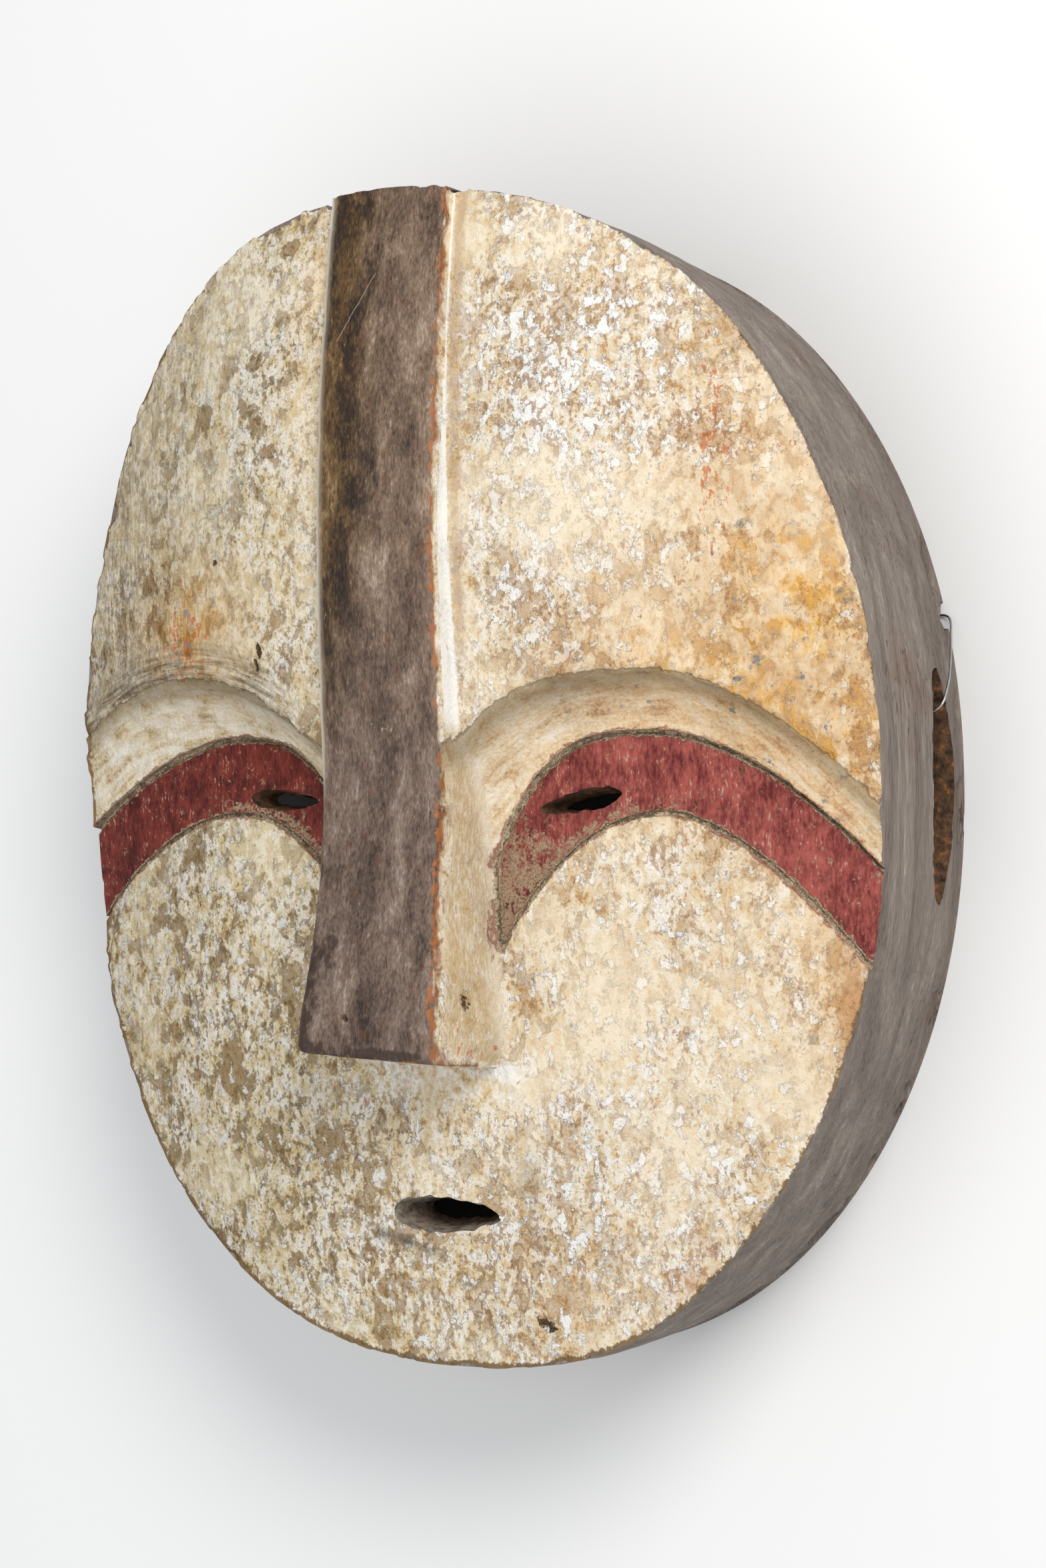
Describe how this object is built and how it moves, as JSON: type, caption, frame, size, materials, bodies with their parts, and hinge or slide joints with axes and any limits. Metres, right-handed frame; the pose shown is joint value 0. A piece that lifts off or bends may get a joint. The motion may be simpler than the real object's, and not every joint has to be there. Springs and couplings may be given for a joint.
{
  "type": "vuvi mask",
  "caption": "Carved wooden face mask with a hollow back, a long dark nose bar, arched red eye bands, slit eyes and mouth, lying face up, with its hanging wire.",
  "frame": {"origin": "under the middle of the mask, at the level of its back rim", "axes": "+X towards the viewer's right side of the face, +Y from the chin to the forehead, +Z out of the face"},
  "size_m": [0.281, 0.3556, 0.122],
  "materials": {
    "painted_wood": "matt crusted earth paint over weathered carved wood",
    "steel_wire": "plain drawn wire"
  },
  "bodies": {
    "root": {"mask": "painted_wood", "hanging_wire": "steel_wire"}
  },
  "joints": []
}
